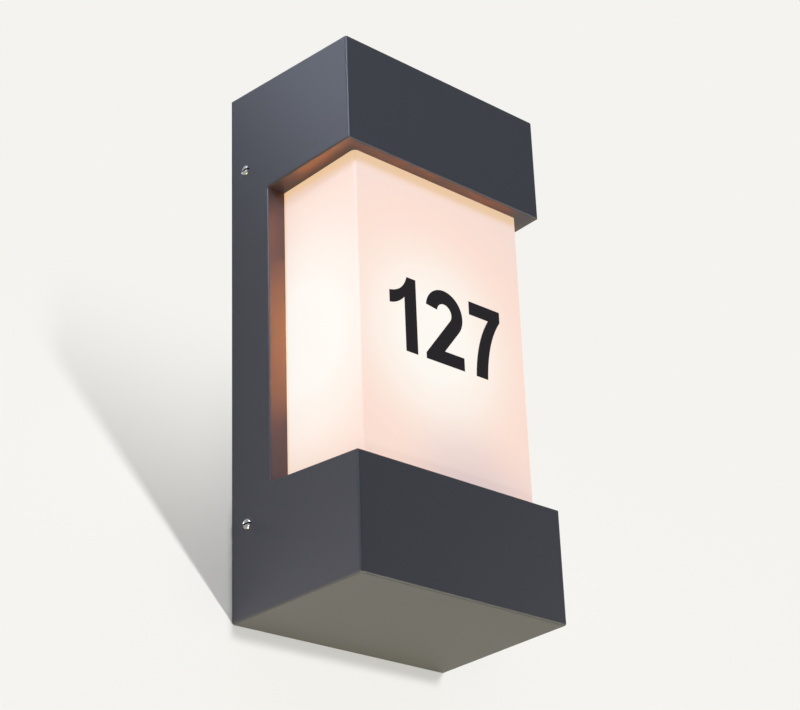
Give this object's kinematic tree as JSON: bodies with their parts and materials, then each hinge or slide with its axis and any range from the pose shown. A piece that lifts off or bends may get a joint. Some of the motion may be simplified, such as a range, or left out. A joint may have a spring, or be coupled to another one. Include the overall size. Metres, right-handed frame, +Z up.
{
  "type": "outdoor wall light",
  "caption": "Outdoor wall light with a C-shaped die-cast housing round an opal diffuser open on three sides, a screw-in lamp and a screwed wall plate.",
  "frame": {"origin": "middle of the four wall-screw slots, on the wall face of the plate's gasket", "axes": "+Y into the wall (the light stands out towards -Y), +Z up, +X to the right seen from the front"},
  "size_m": [0.126, 0.08, 0.26],
  "materials": {
    "anthracite_coat": "satin fine-textured powder coat",
    "opal_acrylic": "opal acrylic, satin, lit from behind",
    "silicone_foam": "closed-cell silicone foam",
    "gasket_foam": "closed-cell rubber foam",
    "zinc_steel": "zinc plated, dull",
    "stainless": "polished by handling",
    "spring_steel": "plain",
    "grommet_rubber": "matt",
    "glazed_porcelain": "glossy glaze",
    "brass": "stamped",
    "tinned_copper": "tin plated",
    "block_plastic": "moulded polyamide",
    "sleeve_earth": "green with a yellow stripe",
    "sleeve_live": "brown",
    "sleeve_neutral": "blue",
    "opal_glass": "opal, frosted inside",
    "lamp_nickel": "plain",
    "black_glass": "fused black glass",
    "solder": "solder dome"
  },
  "bodies": {
    "wall_unit": {"wall_gasket": "gasket_foam", "wall_plate": "zinc_steel", "cable_grommet": "grommet_rubber", "holder_bracket": "zinc_steel", "bracket_screws": "zinc_steel", "lampholder_body": "glazed_porcelain", "screw_shell": "brass", "centre_contact": "brass", "holder_terminals": "brass", "holder_terminal_screws": "zinc_steel", "holder_screws": "zinc_steel", "terminal_block": "block_plastic", "terminal_tubes": "brass", "terminal_screws": "zinc_steel", "terminal_mount_screws": "zinc_steel", "earth_screw": "brass", "earth_lug": "tinned_copper", "earth_wire": "sleeve_earth", "live_wire": "sleeve_live", "neutral_wire": "sleeve_neutral"},
    "cover": {"housing": "anthracite_coat", "diffuser": "opal_acrylic", "seal_left": "silicone_foam", "seal_right": "silicone_foam", "seal_upper": "silicone_foam", "seal_lower": "silicone_foam", "clip_upper_left": "spring_steel", "clip_upper_right": "spring_steel", "clip_lower_left": "spring_steel", "clip_lower_right": "spring_steel", "clip_screws": "zinc_steel", "side_screws": "stainless"},
    "lamp_lift": {"lamp_contact": "solder"},
    "lamp": {"lamp_glass": "opal_glass", "lamp_cap": "lamp_nickel", "lamp_insulator": "black_glass"}
  },
  "joints": [
    {"name": "cover_slide", "type": "slide", "parent": "wall_unit", "child": "cover", "axis": [0, -1, 0], "range_m": [0, 0.12]},
    {"name": "lamp_rise", "type": "slide", "parent": "wall_unit", "child": "lamp_lift", "axis": [0, 0, 1], "range_m": [0, 0.0146]},
    {"name": "lamp_turn", "type": "hinge", "parent": "lamp_lift", "child": "lamp", "pos_m": [0, -0.037, 0], "axis": [0, 0, 1], "range_deg": [0, 1440]}
  ],
  "couplings": [
    {"joint": "lamp_rise", "follows": "lamp_turn", "m_per_rad": 0.00057757}
  ]
}
